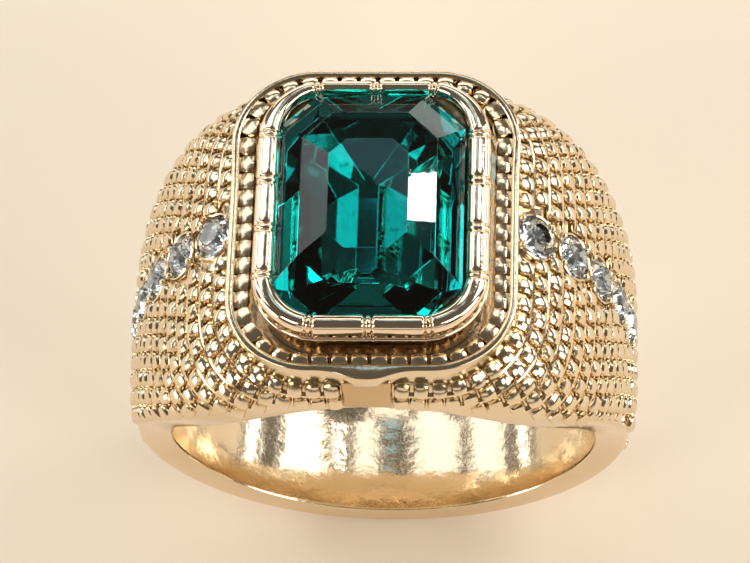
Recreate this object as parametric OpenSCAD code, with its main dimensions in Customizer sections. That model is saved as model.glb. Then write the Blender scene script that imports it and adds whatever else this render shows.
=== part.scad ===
// Cocktail ring: a cast band whose wide head carries a framed octagon stone,
// with a row of small round stones down the middle of each shoulder.
// The finger runs along Y, the head is up (+Z), and the origin is the centre of the finger bore.

/* [Finger bore] */
// Inside diameter of the ring
finger_d = 19.0; // [18.6:0.1:19.4]

/* [Band] */
// Width of the band at the head, along the finger
head_w = 15.2; // [15:0.1:15.6]
// Width of the band at the bottom of the shank
shank_w = 6.2; // [5:0.1:7]
// Thickness at the bottom of the shank
shank_t = 1.45; // [1.3:0.05:1.8]
// Extra thickness that the shoulders gain beside the head
shoulder_rise = 2.3; // [2:0.1:2.5]
// Height of the plain edge of the band at the head
edge_t = 0.5; // [0.4:0.05:0.7]

/* [Head frame] */
// Outside size of the frame across the finger
frame_x = 12.4; // [12.2:0.1:12.6]
// Outside size of the frame along the finger
frame_y = 14.6; // [14.4:0.1:14.8]
// Corner radius of the frame
frame_r = 3.6; // [3.2:0.1:4]
// Height of the frame's rim above the bore wall
frame_h = 2.9; // [2.8:0.05:3.1]
// Width of the polished rim
rim_w = 0.35; // [0.3:0.05:0.45]

/* [Bezel cup] */
// Outside size of the bamboo rim across the finger
bezel_x = 10.0; // [9.8:0.1:10.2]
// Outside size of the bamboo rim along the finger
bezel_y = 12.3; // [12.1:0.1:12.5]
// Corner radius of the bamboo rim
bezel_r = 2.8; // [2.4:0.1:3]
// Height of the bamboo rim above the frame's rim
bezel_h = 1.5; // [1.4:0.05:1.6]

/* [Centre stone] */
// Girdle size across the finger
stone_x = 8.1; // [7.9:0.1:8.2]
// Girdle size along the finger
stone_y = 11.2; // [11:0.1:11.2]
// How far the stone sits off the middle of its cup
stone_shift = -0.15; // [-0.2:0.05:0.2]

/* [Side stones] */
// Diameter of a side stone
chip_d = 2.0; // [1.8:0.05:2.1]
// Angle from the head to the first side stone
chip_first = 32.5; // [32:0.5:34]
// Angle between side stones
chip_step = 10.3; // [10:0.1:11]

/* [Hidden] */
$fn = 64;
SIDES = ["left", "right"];
CHIPS = 5;

bore_r = finger_d / 2;
play = 0.02;              // assembly gap between a seat and what sits in it
fine = 32;                // facets of a full turn where two outlines are hulled

// Heights above the bore's axis
rim_z = bore_r + frame_h;             // top of the frame's rim
seat_z = bore_r + 0.5;                // floor that the cup stands on
moat_z = rim_z - 1.3;                 // bottom of the moat around the cup
bead_z = rim_z - 0.45;                // where the beaded slope meets the rim
lip_z = rim_z + 0.35;                 // underside of the cup's ledge
bamboo_z = lip_z + 0.2;               // underside of the bamboo rim
bezel_z = rim_z + bezel_h;            // top of the bamboo rim
girdle_z = rim_z + 1.1;               // top of the centre stone's girdle
table_z = rim_z + 2.3;                // top of the centre stone

// Band: half width, crown radius and edge radius at an angle from the head
width_bend = 70;          // angle at which the width has dropped half way
width_power = 4.4;        // how sharply it drops there
crown_bend = 55;          // the same for the crown's height
crown_power = 4;
edge_swell = 0.6;         // how much the plain edge thickens at the sides
edge_bottom = 0.3;        // and at the bottom
function fold(a) = abs(a > 180 ? a - 360 : a);
function bell(a, bend, power) = 1 / (1 + pow(fold(a) / bend, power));
function half_w(a) = (shank_w + (head_w - shank_w) * bell(a, width_bend, width_power)) / 2;
function crown_r(a) = bore_r + shank_t + shoulder_rise * bell(a, crown_bend, crown_power);
function edge_r(a) = bore_r + edge_t + edge_swell * pow(sin(a), 2)
    + edge_bottom * (1 - cos(a)) / 2;

// One cross-section of the band: a superellipse over the bore, closed inside it
section_power = 3;
section_steps = 12;
turn_steps = 72;
inner_r = bore_r - 0.8;
function sweep(f) = sign(f) * pow(abs(sin(f)), 2 / section_power);
function lift(f) = pow(abs(cos(f)), 2 / section_power);
function at(a, r, y) = [r * sin(a), y, r * cos(a)];
function section(a) = concat(
    [for (k = [0 : section_steps]) let (f = 90 - 180 * k / section_steps)
        at(a, edge_r(a) + (crown_r(a) - edge_r(a)) * lift(f), half_w(a) * sweep(f))],
    [at(a, inner_r, -half_w(a)), at(a, inner_r, half_w(a))]);

// Closed skins over rings of points: ring i joins ring i + 1
function wall_faces(rings, n, closed) = [
    for (i = [0 : rings - (closed ? 1 : 2)]) for (j = [0 : n - 1])
        let (p = i * n, q = ((i + 1) % rings) * n, k = (j + 1) % n)
        each [[p + j, q + j, q + k], [p + j, q + k, p + k]]];

module hoop(rings) {
    n = len(rings[0]);
    polyhedron([for (r = rings) each r], wall_faces(len(rings), n, true), convexity = 6);
}

module stack(rings) {
    n = len(rings[0]);
    last = (len(rings) - 1) * n;
    polyhedron([for (r = rings) each r], concat(
        [[for (j = [0 : n - 1]) j]],
        wall_faces(len(rings), n, false),
        [[for (j = [n - 1 : -1 : 0]) last + j]]), convexity = 4);
}

// Octagon with cut corners, clockwise seen from above: half sizes, corner cut, height
function octagon(a, b, c, z) = [
    [a, b - c, z], [a, c - b, z], [a - c, -b, z], [c - a, -b, z],
    [-a, c - b, z], [-a, b - c, z], [c - a, b, z], [a - c, b, z]];
function ngon(r, z, n = 8) = [for (k = [0 : n - 1]) [r * cos(-360 * k / n), r * sin(-360 * k / n), z]];

// Centre stone: two crown steps, girdle, two pavilion steps and a short flat culet
sx = stone_x / 2;
sy = stone_y / 2;
girdle_t = 0.15;
crown_rings = [
    octagon(1.7, 2.68, 0.75, table_z),
    octagon(2.9, 4.2, 1.3, rim_z + 1.95),
    octagon(sx, sy, 1.7, girdle_z)];
function pavilion_rings(skin) = [
    octagon(sx + skin, sy + skin, 1.7 + skin / 2, girdle_z - girdle_t),
    octagon(2.75 + skin, 4.3 + skin, 1.15, girdle_z - 1.55 - skin),
    octagon(0.45 + skin, 2.0 + skin, 0.25, girdle_z - 2.8 - skin)];
foil_t = 0.06;
culet_z = girdle_z - 2.8;
function reversed(v) = [for (k = [len(v) - 1 : -1 : 0]) v[k]];

// Side stones: place on the shoulder, square to its surface
chip_r = chip_d / 2;
chip_sink = 0.1;          // the girdle's depth below the shoulder's crown
chip_table = 0.38;
chip_depth = 0.78;
nudge = 0.5;              // half the angle over which the slope is taken
function slope(a) = atan((crown_r(a - nudge) - crown_r(a + nudge)) / (crown_r(a) * 2 * nudge * PI / 180));
function chip_angle(k) = chip_first + (k - 1) * chip_step;
function side_sign(side) = side == "left" ? -1 : 1;

module on_shoulder(side, k) {
    a = chip_angle(k);
    s = side_sign(side);
    translate(at(s * a, crown_r(a) - chip_sink, 0)) rotate([0, s * (a + slope(a)), 0]) children();
}

module rounded(x, y, r) {
    hull() for (i = [-1, 1]) for (j = [-1, 1]) translate([i * (x / 2 - r), j * (y / 2 - r)]) circle(r);
}

// The same outline out of plain squares and circles, so that it stays exact
module plate(x, y, r, z0, z1) {
    translate([0, 0, z0]) linear_extrude(z1 - z0) {
        square([x - 2 * r, y], center = true);
        square([x, y - 2 * r], center = true);
        for (i = [-1, 1]) for (j = [-1, 1]) translate([i * (x / 2 - r), j * (y / 2 - r)]) circle(r);
    }
}

module band_blank() {
    hoop([for (i = [0 : turn_steps - 1]) section(360 * i / turn_steps)]);
}

module bead_slope() {
    shrink = 1.2;
    hull() {
        translate([0, 0, bead_z]) linear_extrude(1)
            rounded(frame_x - 2 * rim_w, frame_y - 2 * rim_w, frame_r - rim_w, $fn = fine);
        translate([0, 0, moat_z]) linear_extrude(0.1)
            rounded(frame_x - 2 * rim_w - shrink, frame_y - 2 * rim_w - shrink,
                frame_r - rim_w - shrink / 2, $fn = fine);
    }
}

module ring_band() {
    cup_x = bezel_x - 0.6;
    cup_y = bezel_y - 0.6;
    color("gold") difference() {
        union() {
            band_blank();
            plate(frame_x, frame_y, frame_r, bore_r - 0.4, rim_z);
        }
        rotate([90, 0, 0]) cylinder(r = bore_r, h = head_w + 4, center = true, $fn = 180);
        bead_slope();
        plate(frame_x - 2 * rim_w, frame_y - 2 * rim_w, frame_r - rim_w, rim_z - 0.02, rim_z + 3);
        plate(cup_x + 2 * play, cup_y + 2 * play, bezel_r - 0.3, seat_z, rim_z);
        plate(5.2, 8, 1.4, bore_r - 2, rim_z);
        for (side = SIDES) for (k = [1 : CHIPS])
            on_shoulder(side, k) translate([0, 0, -chip_depth - 0.25]) cylinder(r = chip_r + play, h = 2.5);
    }
}

// Where the bamboo rim's 14 segments meet: position round the outline and the way the joint faces
joint_y = bezel_y / 2 - bezel_r + 0.15;
joint_x = bezel_x / 2 - bezel_r + 0.35;
JOINTS = concat(
    [for (s = [-1, 1]) for (t = [-1, -1 / 3, 1 / 3, 1]) [s * bezel_x / 2, t * joint_y, 0]],
    [for (s = [-1, 1]) for (t = [-1, 0, 1]) [t * joint_x, s * bezel_y / 2, 90]]);

module joint_groove() {
    groove = 0.09;
    collar = 0.2;
    for (s = [-1, 1]) translate([0, s * (collar + groove) / 2, (bamboo_z + bezel_z) / 2 + 0.1])
        cube([1.8, groove, bezel_z - bamboo_z], center = true);
}

module bezel_cup() {
    wall_x = bezel_x - 0.6;
    wall_y = bezel_y - 0.6;
    top_cut = 0.3;
    color("goldenrod") difference() {
        union() {
            plate(wall_x, wall_y, bezel_r - 0.3, seat_z, lip_z);
            plate(bezel_x - 0.1, bezel_y - 0.1, bezel_r - 0.05, lip_z, bamboo_z);
            plate(bezel_x, bezel_y, bezel_r, bamboo_z, bezel_z - top_cut);
            plate(bezel_x - top_cut, bezel_y - top_cut, bezel_r - top_cut / 2, bezel_z - top_cut, bezel_z);
        }
        plate(8.6, 11.34, 1.9, girdle_z - girdle_t - play, bezel_z + 1);
        plate(7.6, 10.7, 1.5, seat_z + 0.4, bezel_z);
        for (j = JOINTS) translate([j[0], j[1], 0]) rotate([0, 0, j[2]]) joint_groove();
    }
}

module centre_stone() {
    color([0.0, 0.35, 0.27, 0.8]) translate([stone_shift, 0, 0])
        stack(concat(crown_rings, pavilion_rings(0)));
}

module centre_foil() {
    color("silver") translate([stone_shift, 0, 0])
        stack(concat(reversed(pavilion_rings(0.01)), pavilion_rings(foil_t)));
}

module centre_cement() {
    top = culet_z - foil_t - play;
    color("white") plate(3.2, 6, 0.8, seat_z + 0.4, top);
}

module side_stone(side, k) {
    color([0.9, 0.95, 1, 0.7]) on_shoulder(side, k)
        stack([ngon(0.56 * chip_r, chip_table), ngon(chip_r, 0), ngon(chip_r, -0.06), ngon(0.08, -chip_depth)]);
}

module side_foil(side) {
    t = 0.04;
    color("silver") for (k = [1 : CHIPS]) on_shoulder(side, k)
        stack([ngon(0.09, -chip_depth - 0.01), ngon(chip_r, -0.08), ngon(chip_r, -0.08 - t),
            ngon(0.08, -chip_depth - 0.01 - t)]);
}

module side_cement(side) {
    color("white") for (k = [1 : CHIPS]) on_shoulder(side, k)
        translate([0, 0, -chip_depth - 0.25]) cylinder(r = 0.6 * chip_r, h = 0.18);
}

ring_band();
bezel_cup();
centre_stone();
centre_foil();
centre_cement();
for (side = SIDES) {
    for (k = [1 : CHIPS])
        side_stone(side, k);
    side_foil(side);
    side_cement(side);
}
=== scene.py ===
"""Cocktail ring: the finished casting, its bamboo-rimmed bezel, and its foiled glass stones."""

from __future__ import annotations

import logging
import math
import random
from bisect import bisect_left
from dataclasses import dataclass, field
from enum import Enum
from typing import Callable, Iterable, Sequence, TypeVar

import bmesh
import bpy
from bmesh.types import BMesh, BMVert
from bpy.types import ID, Material, Mesh, Node, NodeSocket, NodeTree, Object
from mathutils import Matrix, Vector


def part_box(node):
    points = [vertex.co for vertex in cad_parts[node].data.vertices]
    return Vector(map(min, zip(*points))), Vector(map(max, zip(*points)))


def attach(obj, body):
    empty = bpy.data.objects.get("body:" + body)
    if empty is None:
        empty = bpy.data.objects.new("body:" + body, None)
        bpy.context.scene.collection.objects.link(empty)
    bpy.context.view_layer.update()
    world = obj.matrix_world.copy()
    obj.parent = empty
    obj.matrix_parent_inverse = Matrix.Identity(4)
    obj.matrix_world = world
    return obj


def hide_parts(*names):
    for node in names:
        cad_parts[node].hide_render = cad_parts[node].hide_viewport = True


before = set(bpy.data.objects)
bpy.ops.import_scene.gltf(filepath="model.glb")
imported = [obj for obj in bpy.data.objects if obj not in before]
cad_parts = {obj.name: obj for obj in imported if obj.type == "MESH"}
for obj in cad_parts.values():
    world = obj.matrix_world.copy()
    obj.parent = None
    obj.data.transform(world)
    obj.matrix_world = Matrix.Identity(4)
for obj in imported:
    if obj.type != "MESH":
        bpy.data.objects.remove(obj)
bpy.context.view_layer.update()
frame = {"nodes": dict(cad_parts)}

LOG = logging.getLogger("cocktail_ring")
MM = 0.001
BODY = "root"

Point2 = tuple[float, float]
Tint = tuple[float, float, float, float]
Item = TypeVar("Item")


# ---------------------------------------------------------------- colour and node helpers


def linear(hex_colour: str) -> Tint:
    """Turns an sRGB hex colour into linear light.

    Args:
        hex_colour: Six hex digits, such as "F2D39B".

    Returns:
        Red, green, blue and an alpha of 1.
    """
    parts = [int(hex_colour[i:i + 2], 16) / 255 for i in (0, 2, 4)]
    curve = [c / 12.92 if c <= 0.04045 else ((c + 0.055) / 1.055) ** 2.4 for c in parts]
    return curve[0], curve[1], curve[2], 1.0


def add_node(tree: NodeTree, kind: str, values: dict | None = None,
             links: dict | None = None, **settings: object) -> Node:
    """Adds a node with its socket values, its links and its own settings.

    Args:
        tree: The node tree that gets the node.
        kind: The node's type, such as "ShaderNodeTexNoise".
        values: Input socket name or index to a constant value.
        links: Input socket name or index to the output socket that feeds it.
        settings: Attributes of the node itself.

    Returns:
        The new node.
    """
    node = tree.nodes.new(kind)
    for name, value in settings.items():
        setattr(node, name, value)
    for socket, value in (values or {}).items():
        node.inputs[socket].default_value = value
    for socket, source in (links or {}).items():
        tree.links.new(source, node.inputs[socket])
    return node


class Shading:
    """A material being built, with its patterns on object coordinates and sized in millimetres."""

    def __init__(self, name: str) -> None:
        """Starts an empty material."""
        self.material = bpy.data.materials.new(name)
        self.material.use_nodes = True
        self.tree = self.material.node_tree
        self.tree.nodes.clear()
        self.place = add_node(self.tree, "ShaderNodeTexCoord").outputs["Object"]

    def noise(self, size_mm: float, detail: float) -> NodeSocket:
        """A cloudy pattern whose lumps have this size."""
        return add_node(self.tree, "ShaderNodeTexNoise", {"Scale": 1 / (size_mm * MM), "Detail": detail},
                        {"Vector": self.place}).outputs["Fac"]

    def spread(self, source: NodeSocket, low: float, high: float,
               to_low: float = 0.0, to_high: float = 1.0) -> NodeSocket:
        """Stretches part of a pattern's range over another range."""
        ends = {"From Min": low, "From Max": high, "To Min": to_low, "To Max": to_high}
        return add_node(self.tree, "ShaderNodeMapRange", ends, {"Value": source}).outputs["Result"]

    def blend(self, first: str, second: str, share: NodeSocket) -> NodeSocket:
        """Mixes two hex colours by a pattern."""
        return add_node(self.tree, "ShaderNodeMix", {6: linear(first), 7: linear(second)}, {0: share},
                        data_type="RGBA").outputs[2]

    def bump(self, height: NodeSocket, strength: float, depth_mm: float,
             **under: NodeSocket) -> NodeSocket:
        """Turns a pattern into relief, on top of the relief given as Normal, if any."""
        return add_node(self.tree, "ShaderNodeBump", {"Strength": strength, "Distance": depth_mm * MM},
                        {"Height": height, **under}).outputs["Normal"]

    def finish(self, values: dict, links: dict) -> Material:
        """Ends the tree in one surface shader and returns the material."""
        skin = add_node(self.tree, "ShaderNodeBsdfPrincipled", values, links)
        add_node(self.tree, "ShaderNodeOutputMaterial", None, {"Surface": skin.outputs["BSDF"]})
        return self.material


# ---------------------------------------------------------------- finishes


@dataclass(frozen=True)
class GoldPlate:
    """Thin bright gold over a polished casting: a pale, warm mirror with a faint cast ripple.

    The plate follows every ripple of the tumbled casting under it, so the reflections wander a
    little, and light caught between two walls bounces more than once and comes back amber.
    """

    name: str
    light: str = "EEDFC4"
    deep: str = "E5CFAD"
    shine: float = 0.10
    dull: float = 0.22
    cloud_mm: float = 2.5
    ripple_mm: float = 0.55
    grit_mm: float = 0.09
    ripple: float = 0.035
    peel_share: float = 0.2

    def make(self) -> Material:
        """Builds the plate: clouded colour, gritty wear, a ripple, and orange peel over the ripple."""
        shading = Shading(self.name)
        grit = shading.noise(self.grit_mm, 2.0)
        swell = shading.bump(shading.noise(self.ripple_mm, 2.0), self.ripple, self.ripple_mm)
        peel = shading.bump(grit, self.ripple * self.peel_share, self.grit_mm, Normal=swell)
        tint = shading.blend(self.light, self.deep, shading.noise(self.cloud_mm, 3.0))
        worn = shading.spread(grit, 0.3, 0.75, self.shine, self.dull)
        return shading.finish({"Metallic": 1.0}, {"Base Color": tint, "Roughness": worn, "Normal": peel})


@dataclass(frozen=True)
class CastGlass:
    """Pressed, fire-polished lead-free glass: clear to its foil, with soft facet edges."""

    name: str
    colour: str
    ior: float = 1.54
    roughness: float = 0.015
    drag_mm: float = 0.7
    drag: float = 0.0012

    def make(self) -> Material:
        """Builds the glass, with the slow ripple that fire polishing leaves on a facet."""
        shading = Shading(self.name)
        wave = shading.bump(shading.noise(self.drag_mm, 1.0), self.drag, self.drag_mm)
        return shading.finish({"Base Color": linear(self.colour), "Roughness": self.roughness,
                               "IOR": self.ior, "Transmission Weight": 1.0}, {"Normal": wave})


@dataclass(frozen=True)
class Silvering:
    """Vacuum silvering behind glass: a bright, slightly pitted mirror."""

    name: str
    colour: str = "E4ECEA"
    pitted: str = "A9B4AE"
    freckle_mm: float = 0.35
    roughness: float = 0.05

    def make(self) -> Material:
        """Builds the mirror, with dull freckles where the coat is thin."""
        shading = Shading(self.name)
        thin = shading.spread(shading.noise(self.freckle_mm, 4.0), 0.55, 0.7)
        tint = shading.blend(self.colour, self.pitted, thin)
        return shading.finish({"Metallic": 1.0, "Roughness": self.roughness}, {"Base Color": tint})


@dataclass(frozen=True)
class Cement:
    """Cured two-part cement: amber, a little cloudy, with trapped specks."""

    name: str = "epoxy_cement"
    clear: str = "C9B48A"
    cloudy: str = "E6DCC0"
    lump_mm: float = 0.4
    roughness: float = 0.35

    def make(self) -> Material:
        """Builds the cement, its relief following its clouds."""
        shading = Shading(self.name)
        haze = shading.noise(self.lump_mm, 5.0)
        return shading.finish({"Roughness": self.roughness, "IOR": 1.5},
                              {"Base Color": shading.blend(self.clear, self.cloudy, haze),
                               "Normal": shading.bump(haze, 0.3, 0.05)})


@dataclass(frozen=True)
class PaleCard:
    """Matt card under the ring: warm and near white, with a fine nap that keeps it from shining."""

    name: str = "pale_card"
    colour: str = "FAECD8"
    nap_mm: float = 0.8
    roughness: float = 0.95

    def make(self) -> Material:
        """Builds the card."""
        shading = Shading(self.name)
        nap = shading.bump(shading.noise(self.nap_mm, 4.0), 0.12, 0.1)
        return shading.finish({"Base Color": linear(self.colour), "Roughness": self.roughness},
                              {"Normal": nap})


# ---------------------------------------------------------------- small formulas


def ramp(value: float, start: float, length: float) -> float:
    """0 up to the start, 1 from a length beyond it, and straight between."""
    return min(max((value - start) / length, 0.0), 1.0)


def ease(share: float) -> float:
    """Softens both ends of a ramp."""
    return share * share * (3 - 2 * share)


def bowed(value: float, power: float) -> float:
    """A power of a signed number that keeps its sign, which makes a round section squarer."""
    return math.copysign(abs(value) ** power, value)


def pick(items: Sequence[Item], share: float) -> Item:
    """The item at a share of the way round a closed list."""
    return items[round(share * len(items)) % len(items)]


def oval(half_wide: float, half_high: float, count: int, middle: Point2 = (0.0, 0.0),
         phase: float = 0.0) -> list[Point2]:
    """Points round an ellipse, the first one a phase, in steps, past its own X."""
    turns = [2 * math.pi * (k + phase) / count for k in range(count)]
    return [(middle[0] + half_wide * math.cos(t), middle[1] + half_high * math.sin(t)) for t in turns]


def about_finger(radius: float, turn: float, across: float = 0.0) -> Vector:
    """A point by its radius, its turn in radians from the head, and its place across the band."""
    return Vector((radius * math.sin(turn), across, radius * math.cos(turn)))


def measured(spots: Iterable[tuple[float, Vector]]) -> list[Point2]:
    """Distances along a run of places.

    Args:
        spots: Pairs of a label, such as an angle, and a place.

    Returns:
        Pairs of the distance so far and the label.
    """
    rows: list[Point2] = []
    total, last = 0.0, Vector()
    for label, here in spots:
        total += (here - last).length if rows else 0.0
        rows.append((total, label))
        last = here
    return rows


def looked_up(rows: Sequence[Point2], wanted: float) -> float:
    """The label at a distance, straight between two rows and constant beyond the last."""
    k = min(max(bisect_left(rows, (wanted,)), 1), len(rows) - 1)
    (near, first), (far, second) = rows[k - 1], rows[k]
    return first + (second - first) * min((wanted - near) / max(far - near, 1e-9), 1.0)


# ---------------------------------------------------------------- mesh helpers


class Skin(Enum):
    """How a piece's faces are shaded."""

    FACETED = "flat facets"
    ROUNDED = "smooth, with edges kept sharp past the crease angle"


CREASE = math.radians(38)
SEAM = 1e-5
OF_BAND = (Skin.ROUNDED, "gold_plate", ["ring_band"])
OF_CUP = (Skin.ROUNDED, "gold_plate_cup", ["bezel_cup"])


def to_mesh(bm: BMesh, name: str) -> Mesh:
    """Moves a mesh that is being edited into a new data block, and frees it."""
    mesh = bpy.data.meshes.new(name)
    bm.to_mesh(mesh)
    bm.free()
    return mesh


def in_scene(name: str, data: ID) -> Object:
    """Puts a new object into the scene."""
    made = bpy.data.objects.new(name, data)
    bpy.context.scene.collection.objects.link(made)
    return made


def to_object(bm: BMesh, name: str, material: Material, skin: Skin,
              slot: str, replaces: Sequence[str] = ()) -> Object:
    """Turns a mesh in millimetres into a piece of the ring.

    Args:
        bm: The mesh, in millimetres in the ring's own frame. It is freed.
        name: The piece's name.
        material: Its finish.
        skin: How it is shaded.
        slot: The record's material slot that the finish belongs to; not used.
        replaces: The CAD nodes that it stands for.

    Returns:
        The object, at the origin and riding on the ring.
    """
    bmesh.ops.recalc_face_normals(bm, faces=bm.faces)
    bmesh.ops.scale(bm, vec=Vector((MM, MM, MM)), verts=bm.verts)
    mesh = to_mesh(bm, name)
    mesh.materials.append(material)
    mesh.polygons.foreach_set("use_smooth", [skin is Skin.ROUNDED] * len(mesh.polygons))
    if skin is Skin.ROUNDED:
        mesh.set_sharp_from_angle(angle=CREASE)
    piece = in_scene(name, mesh)
    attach(piece, BODY)
    if replaces:
        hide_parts(*replaces)
    LOG.info("%s: %d faces", name, len(mesh.polygons))
    return piece


def mapped_grid(bm: BMesh, across: int, along: int,
                place: Callable[[float, float], Vector]) -> None:
    """Adds a grid whose two coordinates, each from 0 to 1, a formula maps to a closed surface.

    Args:
        bm: The mesh that gets the surface.
        across: Cells in the first coordinate.
        along: Cells in the second coordinate.
        place: The formula, from the two coordinates to a point in millimetres.
    """
    made = bmesh.ops.create_grid(bm, x_segments=across, y_segments=along, size=1.0)
    for vert in made["verts"]:
        vert.co = place((vert.co.x + 1) / 2, (vert.co.y + 1) / 2)
    bmesh.ops.remove_doubles(bm, verts=made["verts"], dist=SEAM)


@dataclass(frozen=True)
class RoundedBox:
    """A rounded rectangle seen from above, followed by the distance round it from its front centre."""

    half_x: float
    half_y: float
    radius: float

    @property
    def length(self) -> float:
        """The whole way round."""
        return 4 * (self.half_x + self.half_y - 2 * self.radius) + 2 * math.pi * self.radius

    def at(self, distance: float) -> tuple[Vector, Vector]:
        """Place and outward direction at a distance, which runs to +X first.

        Args:
            distance: Millimetres from the front centre, the point at (0, -half_y).

        Returns:
            The point and the unit outward direction, both flat.
        """
        r = self.radius
        end, corner, side = self.half_x - r, math.pi * r / 2, self.half_y - r
        s = distance % self.length
        flip_x = s > self.length / 2
        s = self.length - s if flip_x else s
        flip_y = s > self.length / 4
        s = self.length / 2 - s if flip_y else s
        if s <= end:
            point, out = Vector((s, -self.half_y, 0.0)), Vector((0.0, -1.0, 0.0))
        elif s <= end + corner:
            turn = (s - end) / r
            out = Vector((math.sin(turn), -math.cos(turn), 0.0))
            point = Vector((end + r * math.sin(turn), -side - r * math.cos(turn), 0.0))
        else:
            point, out = Vector((self.half_x, s - end - corner - side, 0.0)), Vector((1.0, 0.0, 0.0))
        flip = Vector((-1.0 if flip_x else 1.0, -1.0 if flip_y else 1.0, 1.0))
        return point * flip, out * flip

    def grown(self, by: float) -> RoundedBox:
        """The outline that runs outside this one at a constant distance."""
        return RoundedBox(self.half_x + by, self.half_y + by, self.radius + by)


def swept_loop(bm: BMesh, path: RoundedBox, profile: Sequence[Point2], steps: int,
               bend: Callable[[Vector, Vector, float, float], Point2] | None = None) -> None:
    """Sweeps a closed profile all the way round an outline.

    Args:
        bm: The mesh that gets the loop.
        path: The outline.
        profile: Points as (outward, height) in millimetres, in order round the profile.
        steps: Stations round the outline.
        bend: Formula from the outline's point and outward direction and a profile point to the
            profile point to use there.
    """
    def place(u: float, v: float) -> Vector:
        point, out = path.at(u * path.length)
        reach, height = pick(profile, v)
        if bend:
            reach, height = bend(point, out, reach, height)
        return point + out * reach + Vector((0, 0, height))

    mapped_grid(bm, steps, len(profile), place)


def soften(bm: BMesh, width: float, segments: int) -> None:
    """Rounds every edge of a mesh."""
    bmesh.ops.bevel(bm, geom=bm.edges[:], offset=width, segments=segments, affect="EDGES", profile=0.5,
                    material=-1)


def prism(path: RoundedBox, low: float, high: float) -> BMesh:
    """A solid upright block with a rounded-rectangle outline, from one height to another."""
    bm, steps = bmesh.new(), 96
    made = bmesh.ops.create_circle(bm, cap_ends=True, radius=1.0, segments=steps)
    for k, vert in enumerate(made["verts"]):
        point, _ = path.at(path.length * k / steps)
        vert.co = Vector((point.x, point.y, low))
    top = bmesh.ops.extrude_face_region(bm, geom=bm.faces[:])
    rise = [v for v in top["geom"] if isinstance(v, BMVert)]
    bmesh.ops.translate(bm, vec=Vector((0, 0, high - low)), verts=rise)
    return bm


def carved(blank: BMesh, tools: Iterable[BMesh]) -> BMesh:
    """Cuts closed meshes out of another with the Boolean modifier.

    Args:
        blank: The mesh to cut into. It is freed.
        tools: The meshes to cut away, which are freed.

    Returns:
        The result, as a new mesh.
    """
    def scratch(bm: BMesh, name: str) -> Object:
        bmesh.ops.recalc_face_normals(bm, faces=bm.faces)
        return in_scene(name, to_mesh(bm, name))

    body = scratch(blank, "blank")
    helpers = [scratch(tool, "tool") for tool in tools]
    for helper in helpers:
        cut = body.modifiers.new("cut", "BOOLEAN")
        cut.operation, cut.solver, cut.object = "DIFFERENCE", "MANIFOLD", helper
    bpy.context.view_layer.update()
    graph = bpy.context.evaluated_depsgraph_get()
    result = bmesh.new()
    result.from_mesh(body.evaluated_get(graph).to_mesh())
    for scrap in [body, *helpers]:
        mesh = scrap.data
        bpy.data.objects.remove(scrap)
        bpy.data.meshes.remove(mesh)
    return result


# ---------------------------------------------------------------- the band's surface


@dataclass(frozen=True)
class BandForm:
    """The band's surface, in millimetres, by the angle from the head and the place across it."""

    bore: float
    head_width: float
    rim_z: float
    shank_width: float = 6.2
    shank_thickness: float = 1.45
    shoulder_rise: float = 2.3
    edge: float = 0.5
    edge_swell: float = 0.6
    edge_bottom: float = 0.3
    width_bend: float = 70.0
    width_power: float = 4.4
    crown_bend: float = 55.0
    crown_power: float = 4.0
    section_power: float = 3.0
    deck_drop: float = 0.8
    deck_reach: float = 80.0
    deck_blend: float = 0.12

    @property
    def deck(self) -> float:
        """Height of the flat that the head's frame stands on."""
        return self.rim_z - self.deck_drop

    def half_width(self, angle: float) -> float:
        """Half the band's width at an angle in degrees."""
        bell = 1 / (1 + (abs(angle) / self.width_bend) ** self.width_power)
        return (self.shank_width + (self.head_width - self.shank_width) * bell) / 2

    def crown(self, angle: float) -> float:
        """Radius along the middle of the band at an angle in degrees."""
        bell = 1 / (1 + (abs(angle) / self.crown_bend) ** self.crown_power)
        return self.bore + self.shank_thickness + self.shoulder_rise * bell

    def edge_radius(self, angle: float) -> float:
        """Radius of the band's outer edge at an angle in degrees."""
        turn = math.radians(angle)
        return (self.bore + self.edge + self.edge_swell * math.sin(turn) ** 2
                + self.edge_bottom * (1 - math.cos(turn)) / 2)

    def point(self, angle: float, sweep: float, lift: float = 0.0) -> Vector:
        """A point of the outer surface.

        Args:
            angle: Degrees from the head, positive towards +X.
            sweep: Degrees across the band, from -90 at the front edge to 90 at the back edge.
            lift: Radial distance above the surface.

        Returns:
            The point, in millimetres.
        """
        power = 2 / self.section_power
        low, high = self.edge_radius(angle), self.crown(angle)
        turn, tilt = math.radians(angle), math.radians(sweep)
        radius = low + (high - low) * abs(math.cos(tilt)) ** power
        if abs(angle) < self.deck_reach:
            ceiling = self.deck / math.cos(turn)
            gap = max(self.deck_blend - abs(radius - ceiling), 0.0) / self.deck_blend
            radius = min(radius, ceiling) - gap * gap * self.deck_blend / 4
        return about_finger(radius + lift, turn, bowed(math.sin(tilt), power) * self.half_width(angle))

    def normal(self, angle: float, sweep: float) -> Vector:
        """The outward unit normal of the outer surface."""
        step, edge = 0.4, 89.9
        along = self.point(angle + step, sweep) - self.point(angle - step, sweep)
        across = self.point(angle, min(sweep + step, edge)) - self.point(angle, max(sweep - step, -edge))
        out = across.cross(along).normalized()
        near_edge = abs(sweep) > 60 and out.dot(self.point(angle, sweep)) > 0
        return out if near_edge or out.dot(self.point(angle, 0)) > 0 else -out


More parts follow.
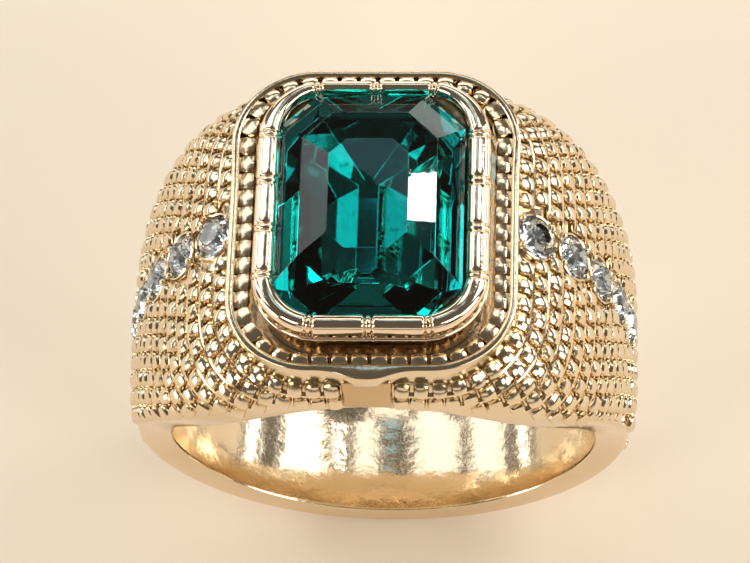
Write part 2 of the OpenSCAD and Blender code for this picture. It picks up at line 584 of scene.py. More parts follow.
@dataclass
class Chart:
    """A flat map of the band: distance round it from the head, and distance across from its middle."""

    form: BandForm
    reach: float = 130.0
    step: float = 0.5
    sweeps: int = 60
    rounds: list[Point2] = field(init=False)

    def __post_init__(self) -> None:
        """Measures the way round along the middle of the band."""
        angles = [k * self.step for k in range(int(self.reach / self.step) + 1)]
        self.rounds = measured((angle, self.form.point(angle, 0)) for angle in angles)

    def angle(self, distance: float) -> float:
        """The angle at a distance round the band."""
        return math.copysign(looked_up(self.rounds, abs(distance)), distance)

    def across(self, angle: float) -> list[Point2]:
        """Distance from the middle of the band for sweeps from 0 to 90 degrees."""
        sweeps = [k * 90.0 / self.sweeps for k in range(self.sweeps + 1)]
        return measured((sweep, self.form.point(angle, sweep)) for sweep in sweeps)

    def locate(self, distance: float, offset: float) -> tuple[float, float, float]:
        """Angle and sweep of a place on the map.

        Args:
            distance: Millimetres round the band.
            offset: Millimetres across it, negative to the front.

        Returns:
            The angle, the sweep, and how far the band's edge is beyond the place.
        """
        angle = self.angle(distance)
        rows = self.across(angle)
        return angle, math.copysign(looked_up(rows, abs(offset)), offset), rows[-1][0] - abs(offset)


# ---------------------------------------------------------------- the head


@dataclass(frozen=True)
class HeadPlan:
    """Outlines and heights of the head, in millimetres above the axis of the bore."""

    frame: RoundedBox = RoundedBox(6.2, 7.3, 3.6)
    bezel: RoundedBox = RoundedBox(5.0, 6.15, 2.8)
    cup: RoundedBox = RoundedBox(4.7, 5.85, 2.5)
    opening: RoundedBox = RoundedBox(4.3, 5.67, 1.9)
    cavity: RoundedBox = RoundedBox(3.8, 5.35, 1.5)
    window: RoundedBox = RoundedBox(2.6, 4.0, 1.4)
    play: float = 0.02
    seat_z: float = 10.0
    moat_z: float = 11.1
    bead_z: float = 11.95
    rim_z: float = 12.4
    lip_z: float = 12.75
    bamboo_z: float = 12.95
    bezel_z: float = 13.9
    girdle_z: float = 13.5


def cushion(half_long: float, half_wide: float, half_high: float, squareness: float) -> Mesh:
    """A small pillow with soft corners, a few dozen faces, for copying many times.

    Args:
        half_long: Half its length, along X.
        half_wide: Half its width, along Y.
        half_high: Half its height, along Z.
        squareness: 2 is an ellipsoid; more is squarer.

    Returns:
        The mesh, in millimetres.
    """
    bm = bmesh.new()
    bmesh.ops.create_cube(bm, size=2.0)
    bmesh.ops.subdivide_edges(bm, edges=bm.edges[:], cuts=2, use_grid_fill=True)
    for vert in bm.verts:
        size = sum(abs(c) ** squareness for c in vert.co) ** (1 / squareness)
        vert.co = vert.co / size
    bmesh.ops.scale(bm, vec=Vector((half_long, half_wide, half_high)), verts=bm.verts)
    return to_mesh(bm, "cushion")


def stamp(bm: BMesh, shape: Mesh, place: Matrix) -> None:
    """Adds a copy of a small mesh at a place."""
    before = len(bm.verts)
    bm.from_mesh(shape)
    bm.verts.ensure_lookup_table()
    bmesh.ops.transform(bm, matrix=place, verts=bm.verts[before:])


def axes_at(origin: Vector, along: Vector, up: Vector) -> Matrix:
    """A placement whose X runs along a row and whose Z stands up from the surface."""
    side = up.cross(along).normalized()
    forward = side.cross(up).normalized()
    turn = Matrix((forward, side, up.normalized())).transposed()
    return Matrix.Translation(origin) @ turn.to_4x4()


@dataclass
class Band:
    """The band: a cast skin, rows of pillow beads round the head, and a plain lip along each edge."""

    form: BandForm
    plan: HeadPlan
    chart: Chart
    gold: Material
    seed: int = 7
    sink: float = 0.16
    sink_run: float = 0.16
    end_run: float = 4.0
    inner: RoundedBox = RoundedBox(6.2, 7.34, 3.62)
    bead_pitch: float = 0.85
    first_row: float = 0.38
    row_pitch: float = 0.83
    rows: int = 20
    last_angle: float = 104.0
    pad_left: float = -1.2
    pad_right: float = 0.95
    pad_play: float = 0.06
    channel: float = 1.12
    channel_depth: float = 0.06
    channel_ends: Point2 = (27.0, 82.0)
    bead_margin: float = 0.40
    bead_gap: float = 1.36
    ridge_margin: float = 0.32
    ridge_gap: float = 1.14
    ridge_radius: float = 0.095
    ridge_step: float = 0.22
    lip_growth: float = 0.35
    tumble: float = 0.17
    unevenness: float = 0.03
    turns: int = 288

    def surface(self, place: Vector) -> Vector:
        """A point of the band from its place on the flat map."""
        angle, sweep, _ = self.chart.locate(place.x, place.y)
        return self.form.point(angle, sweep)

    def lip(self, angle: float) -> float:
        """How much wider than at the head the plain lip is at an angle in degrees."""
        return self.lip_growth * math.sin(math.radians(angle)) ** 2

    def sunk(self, angle: float, spare: float, across: float) -> float:
        """How deep the skin lies below the bead tops.

        Args:
            angle: Degrees from the head.
            spare: Distance to the band's edge along the surface.
            across: Distance from the band's middle.

        Returns:
            Depth in millimetres, 0 on the lip and on the plain shank.
        """
        left = ramp(self.last_angle + 5 - abs(angle), 0.0, self.end_run)
        edge = ramp(spare - self.lip(angle), self.sink_run, self.sink_run)
        start, end = self.channel_ends
        trough = self.channel_depth if abs(across) < self.channel and start < abs(angle) < end else 0.0
        return (self.sink * edge + trough) * ease(left)

    def section(self, angle: float) -> list[Vector]:
        """One closed cross-section, from the front edge over the outside and back through the bore."""
        rows = self.chart.across(angle)
        count = self.chart.sweeps // 2
        half, bore, soft = self.form.half_width(angle), self.form.bore, 0.16
        points = []
        for k in range(-count, count + 1):
            reach, sweep = rows[abs(k) * 2]
            depth = self.sunk(angle, rows[-1][0] - reach, reach)
            points.append(self.form.point(angle, math.copysign(sweep, k), -depth))
        corner = [(half, bore + soft), (half - soft * 0.3, bore + soft * 0.3), (half - soft, bore)]
        inner = corner + [(half / 3, bore), (-half / 3, bore)] + [(-y, r) for y, r in reversed(corner)]
        return points + [about_finger(r, math.radians(angle), y) for y, r in inner]

    def build_skin(self) -> Object:
        """Sweeps the cross-section round the finger and cuts the head's pocket and the stones' seats."""
        rings = [self.section(360 * k / self.turns - 180) for k in range(self.turns)]
        bm = bmesh.new()
        mapped_grid(bm, self.turns, len(rings[0]), lambda u, v: pick(pick(rings, u), v))
        plan = self.plan
        tools = [prism(plan.frame.grown(-0.9), plan.moat_z, plan.rim_z),
                 prism(plan.cup.grown(plan.play), plan.seat_z, plan.rim_z),
                 prism(plan.window, self.form.bore - 2, plan.rim_z)]
        tools += [SideStones.drill(self.form, side, k) for side in Shoulder for k in SideStones.numbers]
        return to_object(carved(bm, tools), "band_skin", self.gold, *OF_BAND)

    def build_beads(self) -> Object:
        """Lays the bead rows, each a constant distance outside the head's frame."""
        chance = random.Random(self.seed)
        shape = cushion(0.35, 0.37, 0.32, squareness=3.6)
        bm = bmesh.new()
        for row in range(self.rows):
            path = self.inner.grown(self.first_row + self.row_pitch * row)
            for hand, start in ((1, self.pad_right), (-1, -self.pad_left)):
                walk = start + self.pad_play + self.bead_pitch / 2
                while walk < path.length / 2 - start - self.bead_pitch / 2:
                    self.place_bead(bm, shape, path, hand * walk, chance)
                    walk += self.bead_pitch
        bpy.data.meshes.remove(shape)
        return to_object(bm, "band_beads", self.gold, *OF_BAND)

    def free(self, angle: float, sweep: float, spare: float, margin: float, gap: float) -> bool:
        """Says whether a place on the band is clear of its end, its edge and the side stones.

        Args:
            angle: Degrees from the head.
            sweep: Degrees across the band.
            spare: Distance to the band's edge.
            margin: Least distance to the edge.
            gap: Least distance to the middle of a side stone.
        """
        if abs(angle) > self.last_angle or spare < margin + self.lip(angle):
            return False
        here = self.form.point(angle, sweep)
        side = Shoulder.RIGHT if angle > 0 else Shoulder.LEFT
        return all((SideStones.place(self.form, side, k).translation - here).length > gap
                   for k in SideStones.numbers)

    def build_wires(self) -> Object:
        """Draws the smooth fine ridge that runs between each bead row and the next."""
        bm = bmesh.new()
        for row in range(self.rows):
            path = self.inner.grown(self.first_row + self.row_pitch * (row + 0.5))
            runs: list[list[tuple[Vector, Vector]]] = [[]]
            count = int(path.length / self.ridge_step)
            for k in range(count + 1):
                spot, _ = path.at(path.length * k / count)
                angle, sweep, spare = self.chart.locate(spot.x, spot.y)
                on_pad = spot.y < 0 and self.pad_left < spot.x < self.pad_right
                if on_pad or not self.free(angle, sweep, spare, self.ridge_margin, self.ridge_gap):
                    runs.append([])
                    continue
                runs[-1].append((self.form.point(angle, sweep, -0.04), self.form.normal(angle, sweep)))
            for run in runs:
                if len(run) > 4:
                    self.add_wire(bm, run)
        return to_object(bm, "band_ridges", self.gold, *OF_BAND)

    def add_wire(self, bm: BMesh, run: list[tuple[Vector, Vector]]) -> None:
        """Adds one closed tube along a run of points, tapering to nothing at its two ends."""
        last, tube = len(run) - 1, oval(1.0, 1.3, 6)

        def place(u: float, v: float) -> Vector:
            k = round(u * last)
            middle, up = run[k]
            ahead = (run[min(k + 1, last)][0] - run[max(k - 1, 0)][0]).normalized()
            side = ahead.cross(up).normalized()
            thick = self.ridge_radius * (0.0 if k in (0, last) else 0.75 if k in (1, last - 1) else 1.0)
            across, height = pick(tube, v)
            return middle + (side * across + up * height) * thick

        mapped_grid(bm, last, len(tube), place)

    def place_bead(self, bm: BMesh, shape: Mesh, path: RoundedBox, walk: float,
                   chance: random.Random) -> None:
        """Stamps one bead if the band has room for it.

        Args:
            bm: The mesh of all the beads.
            shape: The bead.
            path: The row that it is in.
            walk: Its place along the row.
            chance: Source of the small differences that casting and tumbling leave.
        """
        spot, out = path.at(walk)
        angle, sweep, spare = self.chart.locate(spot.x, spot.y)
        wobble = [chance.uniform(-1, 1) for _ in range(4)]
        if not self.free(angle, sweep, spare, self.bead_margin, self.bead_gap):
            return
        base = self.form.point(angle, sweep, -self.sink + 0.04)
        run, step = Vector((-out.y, out.x, 0.0)) * 0.15, out * 0.12
        ahead = self.surface(spot + run) - self.surface(spot - run)
        beside = self.surface(spot + step) - self.surface(spot - step)
        up = ahead.cross(beside)
        if up.dot(Vector((base.x, base.y * 0.6, base.z))) < 0:
            up = -up
        tilt = (Matrix.Rotation(self.tumble * wobble[0], 4, "X")
                @ Matrix.Rotation(self.tumble * wobble[1], 4, "Y"))
        size = Matrix.Diagonal((1 + self.unevenness * wobble[2], 1 + self.unevenness * wobble[3], 1.0, 1.0))
        stamp(bm, shape, axes_at(base, ahead, up) @ tilt @ size)


@dataclass
class HeadFrame:
    """The raised frame round the bezel: a polished rim, a slope of beads, and two plain pads."""

    plan: HeadPlan
    gold: Material
    shaded_pad_gold: Material
    steps: int = 360
    foot_z: float = 10.9
    bulge: float = 0.42
    bulge_x: float = -0.12
    bulge_width: float = 1.2
    bead_count: int = 52
    bead_slope: float = -11.0
    rim_rise: float = 0.22
    bead_rise: float = 0.56
    back_reach: float = 0.13
    pad_tops: Point2 = (11.95, 11.65)
    pad_low: float = 9.68
    pad_y: float = 7.3
    pad_thick: float = 0.75

    def raised(self, y: float) -> float:
        """How much of the back's rise applies at a place, 0 over the front and 1 at the back.

        Args:
            y: How far back the place is, in millimetres.
        """
        return ease(ramp(y, 1.5, 5.0))

    def build_rim(self) -> Object:
        """Sweeps the frame's profile; the rim swells outwards where it meets the front pad."""
        plan, foot, top = self.plan, self.foot_z, self.plan.rim_z
        profile = [(0.0, foot), (0.0, 11.9), (0.0, top - 0.09), (-0.01, top - 0.04), (-0.035, top - 0.012),
                   (-0.07, top), (-0.18, top + 0.03), (-0.29, top), (-0.33, top - 0.025),
                   (-0.35, top - 0.08), (-0.37, top - 0.2), (-0.42, plan.bead_z),
                   (-0.7, (plan.bead_z + plan.moat_z) / 2), (-0.98, plan.moat_z), (-1.05, foot)]

        def bend(point: Vector, out: Vector, reach: float, height: float) -> Point2:
            aside = abs((point.x - self.bulge_x) / self.bulge_width)
            swell = math.exp(-aside ** 2.6) if point.y < -6 else 0.0
            if reach > -0.1 and height > 11.0:
                reach += self.bulge * swell
                height -= 0.25 * swell if height < 12 else 0.0
            share = self.raised(point.y)
            return reach + self.back_reach * share, height + self.rim_rise * share * ramp(height, foot, 1.0)

        bm = bmesh.new()
        swept_loop(bm, plan.frame, profile, self.steps, bend)
        return to_object(bm, "frame_rim", self.gold, *OF_BAND)

    def build_beads(self) -> Object:
        """Sets beads on the slope inside the rim, flat ones at the sides and full ones at the ends."""
        path = self.plan.frame.grown(-0.70)
        flat, full = cushion(0.44, 0.37, 0.31, squareness=5.5), cushion(0.41, 0.37, 0.35, squareness=3.0)
        slope = math.radians(self.bead_slope)
        bm = bmesh.new()
        for k in range(self.bead_count):
            point, out = path.at(path.length * (k + 0.5) / self.bead_count)
            run = Vector((-out.y, out.x, 0.0))
            up = Vector((0, 0, math.cos(slope))) - out * math.sin(slope)
            share = self.raised(point.y)
            place = point + out * self.back_reach * share
            place.z += self.plan.bead_z - 0.10 + self.bead_rise * share
            stamp(bm, full if abs(out.y) > 0.6 else flat, axes_at(place, run, up))
        bpy.data.meshes.remove(flat)
        bpy.data.meshes.remove(full)
        return to_object(bm, "frame_beads", self.gold, *OF_BAND)

    def build_pads(self, left: float, right: float) -> Object:
        """Makes the two plain pads under the rim, one on the front and one on the back.

        Args:
            left: The pads' side towards -X.
            right: The pads' side towards +X.
        """
        bm = bmesh.new()
        for side, top in zip((-1, 1), self.pad_tops):
            verts = bmesh.ops.create_cube(bm, size=1.0)["verts"]
            middle = ((left + right) / 2, side * self.pad_y, (top + self.pad_low) / 2)
            bmesh.ops.scale(bm, vec=Vector((right - left, self.pad_thick, top - self.pad_low)), verts=verts)
            bmesh.ops.translate(bm, vec=Vector(middle), verts=verts)
        soften(bm, 0.16, 4)
        return to_object(bm, "frame_pads", self.shaded_pad_gold, *OF_BAND)


@dataclass
class Bezel:
    """The cup that holds the centre stone, with a rim of bamboo segments and a fine double ledge."""

    plan: HeadPlan
    gold: Material
    side_joint: float = 3.5
    end_joint: float = 2.55
    side_width: float = 0.49
    front_width: float = 0.42
    back_width: float = 0.29
    half_high: float = 0.50
    squareness: float = 2.7
    lean: float = 9.0

    def joints(self) -> list[float]:
        """Distances round the bezel's outline at which two segments meet."""
        path = self.plan.bezel
        spots = [(sx * path.half_x, t * self.side_joint) for sx in (-1, 1) for t in (-1, -1 / 3, 1 / 3, 1)]
        spots += [(t * self.end_joint, sy * path.half_y) for sy in (-1, 1) for t in (-1, 0, 1)]
        samples = [(path.length * k / 4000, path.at(path.length * k / 4000)[0]) for k in range(4000)]
        return sorted(min(samples, key=lambda s: (s[1].x - x) ** 2 + (s[1].y - y) ** 2)[0] for x, y in spots)

    def stations(self) -> list[Point2]:
        """Places round the rim with the rim's thickness there, thin in the grooves beside a collar."""
        joints = self.joints()
        shape = [(-0.30, 1.0), (-0.235, 0.985), (-0.195, 0.93), (-0.165, 0.80), (-0.125, 0.72),
                 (-0.105, 0.86), (-0.07, 0.93), (0.0, 0.95)]
        shape += [(-s, t) for s, t in reversed(shape[:-1])]
        length = self.plan.bezel.length
        spots: list[Point2] = []
        for here, after in zip(joints, joints[1:] + [joints[0] + length]):
            spots += [(here + s, t) for s, t in shape]
            low, high = here + shape[-1][0], after + shape[0][0]
            fill = max(int((high - low) / 0.16), 2)
            spots += [(low + (high - low) * k / fill, 1.0) for k in range(1, fill)]
        return spots

    def build_rim(self) -> Object:
        """Sweeps a full, soft-cornered section through the stations."""
        plan, spots, rounds = self.plan, self.stations(), 28
        power = 2 / self.squareness
        section = [(bowed(x, power), bowed(z, power)) for x, z in oval(1.0, 1.0, rounds)]

        def place(u: float, v: float) -> Vector:
            distance, thick = pick(spots, u)
            point, out = plan.bezel.at(distance)
            ends = self.front_width if out.y < 0 else self.back_width
            half = self.side_width + (ends - self.side_width) * out.y ** 2
            lean = math.radians(self.lean) * (1 - 2 * ramp(-out.y, 0.2, 0.5))
            across, height = pick(section, v)
            across, height = across * half * thick, height * self.half_high * thick
            reach = across * math.cos(lean) + height * math.sin(lean)
            rise = height * math.cos(lean) - across * math.sin(lean)
            return point + out * (reach - half) + Vector((0, 0, plan.bezel_z - self.half_high + rise))

        bm = bmesh.new()
        mapped_grid(bm, len(spots), rounds, place)
        return to_object(bm, "bezel_bamboo", self.gold, *OF_CUP)

    def build_cup(self) -> Object:
        """Carves the cup that the stone is cemented into."""
        plan = self.plan
        bm = carved(prism(plan.cup, plan.seat_z, plan.bamboo_z + 0.1),
                    [prism(plan.opening, plan.lip_z - 0.1, plan.bezel_z),
                     prism(plan.cavity, plan.seat_z + 0.4, plan.bezel_z)])
        return to_object(bm, "bezel_cup_wall", self.gold, *OF_CUP)

    def build_ledge(self) -> Object:
        """Sweeps the two fine wires that run round the cup under the bamboo rim."""
        plan = self.plan
        bm = bmesh.new()
        for reach, height, radius in ((-0.10, plan.bamboo_z - 0.10, 0.10), (-0.20, plan.lip_z - 0.14, 0.08)):
            swept_loop(bm, plan.bezel, oval(radius, radius, 10, (reach, height)), 240)
        return to_object(bm, "bezel_ledge", self.gold, *OF_CUP)


# ---------------------------------------------------------------- the stones


def hull_of(points: Sequence[tuple[float, float, float]]) -> BMesh:
    """The convex solid with these corners, its flat facets whole."""
    bm = bmesh.new()
    for point in points:
        bmesh.ops.create_vert(bm, co=point)
    bmesh.ops.convex_hull(bm, input=bm.verts[:])
    bmesh.ops.dissolve_limit(bm, angle_limit=math.radians(0.8), verts=bm.verts[:], edges=bm.edges[:])
    bmesh.ops.recalc_face_normals(bm, faces=bm.faces)
    return bm


def faceted(points: Sequence[tuple[float, float, float]], wear: float) -> BMesh:
    """Cuts a stone out of its corner points and rounds its edges a little.

    Args:
        points: Every corner of the stone.
        wear: Width of the soft edge that fire polishing leaves between facets.

    Returns:
        The closed stone.
    """
    bm = hull_of(points)
    soften(bm, wear, 2)
    return bm


COATED_BELOW = -1.0


@dataclass(frozen=True)
class CutRing:
    """One level of the centre stone: an oblong with its corners cut off, in millimetres."""

    half_x: float
    half_y: float
    corner: float
    rise: float
    shift: float = -0.15

    def corners(self, top: float, skin: float = 0.0) -> list[tuple[float, float, float]]:
        """The level's eight corners.

        Args:
            top: Height of the upper edge of the girdle.
            skin: How far outside the stone to put them.
        """
        a, b, c = self.half_x, self.half_y, self.corner
        z = top + self.rise - (skin if self.rise < COATED_BELOW else 0.0)
        return [(sx * x + self.shift, sy * y, z) for x, y in ((a + skin, b - c), (a - c, b + skin))
                for sx in (-1, 1) for sy in (-1, 1)]


GIRDLE = CutRing(4.05, 5.6, 1.7, 0.0)
CROWN = (CutRing(1.7, 2.68, 0.75, 1.2), CutRing(2.9, 4.2, 1.3, 0.85), GIRDLE,
         CutRing(4.05, 5.6, 1.7, -0.15))
COATED_EDGE = CutRing(3.981, 5.526, 1.665, -0.25, -0.156)
PAVILION = (CutRing(2.973, 4.453, 1.15, -1.703, -0.245), CutRing(0.416, 2.077, 0.25, -2.998, -0.271))


@dataclass
class CentreStone:
    """An octagon step-cut stone of pressed emerald-green glass."""

    plan: HeadPlan
    glass: Material
    wear: float = 0.016

    def build(self) -> Object:
        """Cuts the stone."""
        points = [point for ring in CROWN + PAVILION for point in ring.corners(self.plan.girdle_z)]
        return to_object(faceted(points, self.wear), "emerald_glass", self.glass, Skin.FACETED,
                         "green_glass", ["centre_stone"])


@dataclass
class CentreSetting:
    """What holds the centre stone: the silvering on its back, the cement under it, and a dark bead round it
    whose olive colour is painted shade and reflection.
    """

    plan: HeadPlan
    silver: Material
    cement: Material
    painted_shade_cement: Material
    air: float = 0.012
    coat: float = 0.04
    bed_top: float = 12.3

    def back_of_stone(self, skin: float) -> BMesh:
        """The solid shape of the stone's back.

        Args:
            skin: How far outside the stone its surface lies.
        """
        rings = (COATED_EDGE,) + PAVILION
        return hull_of([point for ring in rings for point in ring.corners(self.plan.girdle_z, skin)])

    def build_foil(self) -> Object:
        """Wraps the stone's back in a thin open shell that stops short of its girdle."""
        bm = self.back_of_stone(self.air)
        lid = [face for face in bm.faces if face.normal.z > 0.9]
        bmesh.ops.delete(bm, geom=lid, context="FACES_ONLY")
        bmesh.ops.solidify(bm, geom=bm.faces[:], thickness=-self.coat)
        return to_object(bm, "stone_silvering", self.silver, Skin.FACETED, "mirror_foil", ["centre_foil"])

    def build_bed(self) -> Object:
        """Fills the cup under the silvering with cement, hollowed to the shape of the stone's back."""
        block = prism(self.plan.cavity.grown(-0.02), self.plan.seat_z + 0.42, self.bed_top)
        bm = carved(block, [self.back_of_stone(self.air + self.coat + 0.01)])
        return to_object(bm, "stone_cement_bed", self.cement, Skin.ROUNDED, "cement", ["centre_cement"])

    def build_fillet(self) -> Object:
        """Lays the uneven bead that fills the gap between the stone's edge and the cup; its dark olive is
        painted shade and reflection, for the shadow in the gap and the stone's dark side mirrored there.
        """
        profile = [(0.03, 12.68), (0.03, 13.46), (-0.05, 13.44), (-0.45, 13.27), (-0.8, 13.12),
                   (-1.0, 12.68)]

        def bend(point: Vector, out: Vector, reach: float, height: float) -> Point2:
            if reach > 0:
                return reach, height
            swell = 0.03 * math.sin(point.x * 7.1 + point.y * 3.3) + 0.02 * math.sin(point.y * 11.7)
            return reach * self.gap(point, out), height + swell

        bm = bmesh.new()
        swept_loop(bm, self.plan.opening, profile, 220, bend)
        return to_object(bm, "stone_gap_fillet_painted_shade", self.painted_shade_cement, Skin.ROUNDED, "cement")

    @staticmethod
    def gap(point: Vector, out: Vector) -> float:
        """Distance from the cup's wall to the stone's edge, square to the wall.

        Args:
            point: A point of the cup's opening.
            out: The outward direction there.
        """
        x, y = abs(point.x - GIRDLE.shift) - GIRDLE.half_x, abs(point.y) - GIRDLE.half_y
        along_x, along_y = abs(out.x), abs(out.y)
        walls = [(x, along_x), (y, along_y), (x + y + GIRDLE.corner, along_x + along_y)]
        return max(max(distance / slope for distance, slope in walls if slope > 0.2), 0.02)


class Shoulder(Enum):
    """The two shoulders, with the side of the head that each is on."""

    LEFT = -1
    RIGHT = 1


@dataclass
class SideStones:
    """Five small clear stones down the middle of each shoulder, each in a fine collar with prongs."""

    form: BandForm
    glass: Material
    gold: Material
    numbers = range(1, 6)
    first = 32.5
    step = 10.3
    radius = 1.0
    sink = 0.1
    depth = 0.78
    crown = 0.38
    play = 0.02
    table = 0.54
    kite = 0.80
    wear = 0.012

    @classmethod
    def place(cls, form: BandForm, side: Shoulder, k: int) -> Matrix:
        """Where a stone's girdle lies, with Z out of the shoulder."""
        angle = cls.first + (k - 1) * cls.step
        nudge = 0.5
        rise = form.crown(angle - nudge) - form.crown(angle + nudge)
        slope = math.atan(rise / (form.crown(angle) * math.radians(2 * nudge)))
        where = about_finger(form.crown(angle) - cls.sink, math.radians(angle) * side.value)
        lean = side.value * (math.radians(angle) + slope)
        return Matrix.Translation(where) @ Matrix.Rotation(lean, 4, "Y")

    @classmethod
    def drill(cls, form: BandForm, side: Shoulder, k: int) -> BMesh:
        """The round hole that a stone sits in."""
        bm = bmesh.new()
        wide = cls.radius + cls.play
        bmesh.ops.create_cone(bm, cap_ends=True, segments=32, radius1=wide, radius2=wide, depth=2.5)
        bmesh.ops.translate(bm, vec=Vector((0, 0, 1.0 - cls.depth)), verts=bm.verts)
        bmesh.ops.transform(bm, matrix=cls.place(form, side, k), verts=bm.verts)
        return bm

    def build_stone(self, side: Shoulder, k: int) -> Object:
        """Cuts one stone: an eight-sided table, kite facets, and a pointed back."""
        levels = [(self.table, self.crown, 8, 0.0), (self.kite, self.crown * 0.62, 8, 0.5),
                  (self.radius, 0.02, 16, 0.0), (self.radius, -0.05, 16, 0.0),
                  (0.12, -self.depth + 0.05, 8, 0.5)]
        points = [(x, y, z) for radius, z, sides, phase in levels
                  for x, y in oval(radius, radius, sides, phase=phase)] + [(0.0, 0.0, -self.depth)]
        bm = faceted(points, self.wear)
        bmesh.ops.transform(bm, matrix=self.place(self.form, side, k), verts=bm.verts)
        spot = f"{side.name.lower()}_{k}"
        return to_object(bm, f"rhinestone_{spot}", self.glass, Skin.FACETED, "clear_glass",
                         [f"side_stone_{spot}"])

    def build_settings(self, side: Shoulder) -> Object:
        """Makes a collar and four small prongs for each stone."""
        loop, wide = bmesh.new(), self.radius + 0.06
        swept_loop(loop, RoundedBox(wide, wide, wide), oval(0.075, 0.12, 8, (0.0, 0.02)), 40)
        collar, prong = to_mesh(loop, "collar"), cushion(0.17, 0.17, 0.24, squareness=2.2)
        bm = bmesh.new()
        for k in self.numbers:
            place = self.place(self.form, side, k)
            stamp(bm, collar, place)
            for sx, sy in ((-1, -1), (-1, 1), (1, -1), (1, 1)):
                stamp(bm, prong, place @ Matrix.Translation(Vector((sx * 0.82, sy * 0.66, 0.06))))
        bpy.data.meshes.remove(collar)
        bpy.data.meshes.remove(prong)
        return to_object(bm, f"settings_{side.name.lower()}", self.gold, *OF_BAND)


# ---------------------------------------------------------------- the studio


@dataclass(frozen=True)
class Lamp:
    """One soft rectangular light, aimed at the head."""

    name: str
    azimuth: float
    elevation: float
    distance_mm: float
    width_mm: float
    height_mm: float
    radiance: float
    colour: str = "FFFFFF"
    turn: float = 0.0

    @property
    def heading(self) -> Vector:
        """Unit direction from the head to the lamp."""
        return heading(self.azimuth, self.elevation)


def heading(azimuth: float, elevation: float) -> Vector:
    """Unit direction towards an azimuth, from -Y towards +X, and an elevation."""
    a, e = math.radians(azimuth), math.radians(elevation)
    return Vector((math.sin(a) * math.cos(e), -math.cos(a) * math.cos(e), math.sin(e)))


# Most lamps stand where a facet or a part of the gold reflects them into the main view. The four keys
# stand where no facet of the green stone does.
LAMPS = (
    Lamp("haze_card", -178.40, 55.93, 260.6, 36, 36, 1.0, "AAE1F9", 145.8),
    Lamp("back_mid", 180, 46, 262, 90, 36, 1.7, "FFFAF4"),
    Lamp("left_high", -143, 48.5, 260, 110, 90, 1.7),
    Lamp("right_high", 158, 56.5, 260, 56, 52, 1.8),
    Lamp("back_low", 180, 16, 260, 330, 80, 2.4, "FFFAF4"),
    Lamp("left_upper", -118, 24.5, 240, 130, 80, 1.7),
    Lamp("right_upper", 118, 30.5, 240, 130, 80, 2.4),
    Lamp("left_softbox", -72, 5, 220, 120, 80, 4.0, "FFFBF6"),
    Lamp("right_softbox", 72, 21, 220, 120, 110, 3.6, "FFFBF6"),
    Lamp("left_strip", -118, 2.4, 220, 150, 16, 4.0, "FFFDFA"),
    Lamp("right_strip", 118, 2.4, 220, 150, 16, 7.0, "FFFDFA"),
    *(Lamp(name, azimuth, elevation, 240, 80, 80, 5.0, "FFFBF6") for name, azimuth, elevation in (
        ("left_key", -102, 39), ("right_key", 116, 47), ("front_left_key", -44, 39),
        ("front_right_key", 44, 36))),
    Lamp("front_fill", 0, 10, 260, 300, 60, 0.75, "FFF4E6"),
    Lamp("small_lamp", 139.35, 48.37, 252.6, 8, 5, 60.0, turn=51.0),
)


@dataclass(frozen=True)
class CameraPlan:
    """Where the camera stands and how it is turned, in degrees and millimetres."""

    azimuth: float = 6.3
    elevation: float = 60.5
    roll: float = 5.3
    distance: float = 160.0
    aside: float = -0.064
    above: float = 2.641
    lens: float = 179.7
    sensor: float = 36.0


@dataclass
class Studio:
    """The floor, the soft lights and the camera."""

    floor_z: float
    card: Material
    view: CameraPlan = CameraPlan()
    floor_half: float = 0.6
    room_colour: str = "C8BCAE"
    room_strength: float = 0.2

    def build_floor(self) -> Object:
        """Lays the pale floor that the ring stands on."""
        bm = bmesh.new()
        bmesh.ops.create_grid(bm, x_segments=2, y_segments=2, size=self.floor_half)
        bmesh.ops.translate(bm, vec=Vector((0, 0, self.floor_z * MM)), verts=bm.verts)
        mesh = to_mesh(bm, "floor")
        mesh.materials.append(self.card)
        floor = in_scene("floor", mesh)
        return floor

    def build_lamps(self, target: Vector) -> None:
        """Hangs the lamps round the head, and sets a dim even room behind them."""
        for lamp in LAMPS:
            light = bpy.data.lights.new(lamp.name, "AREA")
            light.shape, light.size, light.size_y = "RECTANGLE", lamp.width_mm * MM, lamp.height_mm * MM
            light.energy = lamp.radiance * math.pi * light.size * light.size_y
            light.color = linear(lamp.colour)[:3]
            holder = in_scene(lamp.name, light)
            holder.location = target * MM + lamp.heading * lamp.distance_mm * MM
            aim = (-lamp.heading).to_track_quat("-Z", "Y").to_matrix()
            holder.rotation_euler = (aim @ Matrix.Rotation(math.radians(lamp.turn), 3, "Z")).to_euler()
        world = bpy.data.worlds.new("room")
        bpy.context.scene.world = world
        world.use_nodes = True
        room = world.node_tree.nodes["Background"].inputs
        room["Color"].default_value = linear(self.room_colour)
        room["Strength"].default_value = self.room_strength
        bpy.context.scene.view_settings.view_transform = "Standard"

    def build_camera(self, target: Vector) -> Object:
        """Sets the camera, which looks down steeply on the head from the front.

        Args:
            target: The point on the head's axis that the aim is measured from.

        Returns:
            The camera.
        """
        view, roll = self.view, math.radians(self.view.roll)
        back = heading(view.azimuth, view.elevation)
        level = Vector((math.cos(math.radians(view.azimuth)), math.sin(math.radians(view.azimuth)), 0.0))
        rise = back.cross(level)
        right = level * math.cos(roll) - rise * math.sin(roll)
        up = level * math.sin(roll) + rise * math.cos(roll)
        place = target - right * view.aside - up * view.above + back * view.distance
        data = bpy.data.cameras.new("camera")
        data.lens, data.sensor_width, data.clip_start = view.lens, view.sensor, 0.01
        camera = in_scene("camera", data)
        camera.matrix_world = (Matrix.Translation(place * MM)
                               @ Matrix((right, up, back)).transposed().to_4x4())
        bpy.context.scene.camera = camera
        return camera


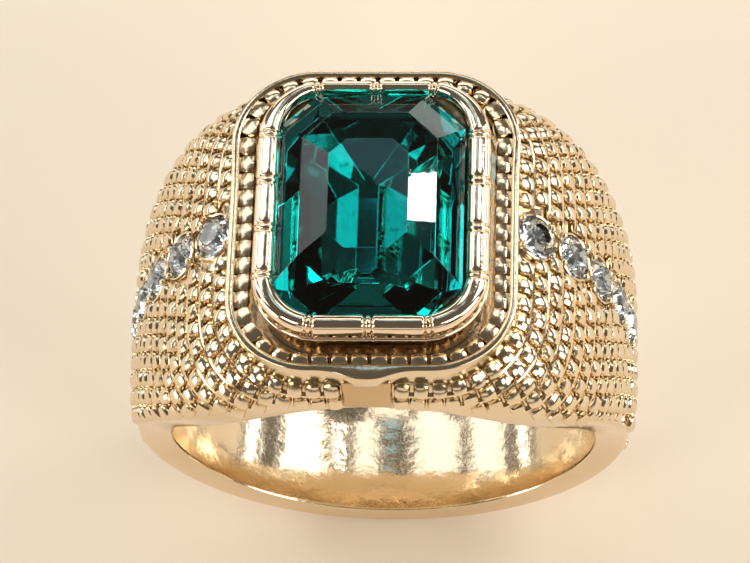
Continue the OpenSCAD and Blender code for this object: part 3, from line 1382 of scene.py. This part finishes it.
def dress_nodes(finishes: dict[str, Material]) -> None:
    """Gives the CAD solids that stay visible their finishes.

    Args:
        finishes: Node name to material.
    """
    for name, material in finishes.items():
        mesh = frame["nodes"][name].data
        mesh.materials.clear()
        mesh.materials.append(material)
        LOG.info("%s: %s", name, material.name)


def main() -> None:
    """Builds the ring, then the studio."""
    logging.basicConfig(level=logging.INFO, format="%(message)s")
    low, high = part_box("ring_band")
    plan = HeadPlan()
    form = BandForm(bore=9.5, head_width=(high[1] - low[1]) / MM, rim_z=plan.rim_z)
    chart = Chart(form)
    gold = GoldPlate("gold_plated_casting").make()
    # The cup is a separate casting and smoother; its plate is painted paler than the band's, a painted
    # highlight that makes its bars read as white streaks.
    paler_painted_cup_gold = GoldPlate("gold_plated_cup_painted_pale", light="F9E8D2", deep="F2DCBE", shine=0.06, dull=0.13,
                         ripple=0.02).make()
    # The pads mirror the pale floor, so their plate is painted deeper, painted shade that keeps them no
    # brighter than the band.
    shaded_pad_gold = GoldPlate("gold_plated_pad_painted_shade", light="D2B790", deep="C8A97E").make()
    green = CastGlass("emerald_pressed_glass", "04B3B1").make()
    clear = CastGlass("clear_pressed_glass", "F4F8FA").make()
    silver = Silvering("vacuum_silvering").make()
    chip_silver = Silvering("rhinestone_silvering", "F0F4F6", "C3C9CC").make()
    cement = Cement().make()
    # The fillet's dark olive is painted shade and reflection: the shadow in the gap round the stone, and the
    # stone's dark side mirrored in the cup's wall.
    painted_shade_cement = Cement("olive_edge_painted_shade", "4A4426", "7A7048", 0.14).make()

    band = Band(form, plan, chart, gold)
    band.build_skin()
    band.build_beads()
    band.build_wires()
    head = HeadFrame(plan, gold, shaded_pad_gold)
    head.build_rim()
    head.build_beads()
    head.build_pads(band.pad_left, band.pad_right)
    bezel = Bezel(plan, paler_painted_cup_gold)
    bezel.build_rim()
    bezel.build_cup()
    bezel.build_ledge()
    CentreStone(plan, green).build()
    setting = CentreSetting(plan, silver, cement, painted_shade_cement)
    setting.build_foil()
    setting.build_bed()
    setting.build_fillet()
    stones = SideStones(form, clear, gold)
    for side in Shoulder:
        stones.build_settings(side)
        for k in stones.numbers:
            stones.build_stone(side, k)
    dress_nodes({"side_foil_left": chip_silver, "side_foil_right": chip_silver,
                 "side_cement_left": cement, "side_cement_right": cement})

    target = Vector((0.0, 0.0, plan.rim_z))
    studio = Studio(low[2] / MM, PaleCard().make())
    studio.build_floor()
    studio.build_lamps(target)
    studio.build_camera(target)


if __name__ == "__main__":
    main()
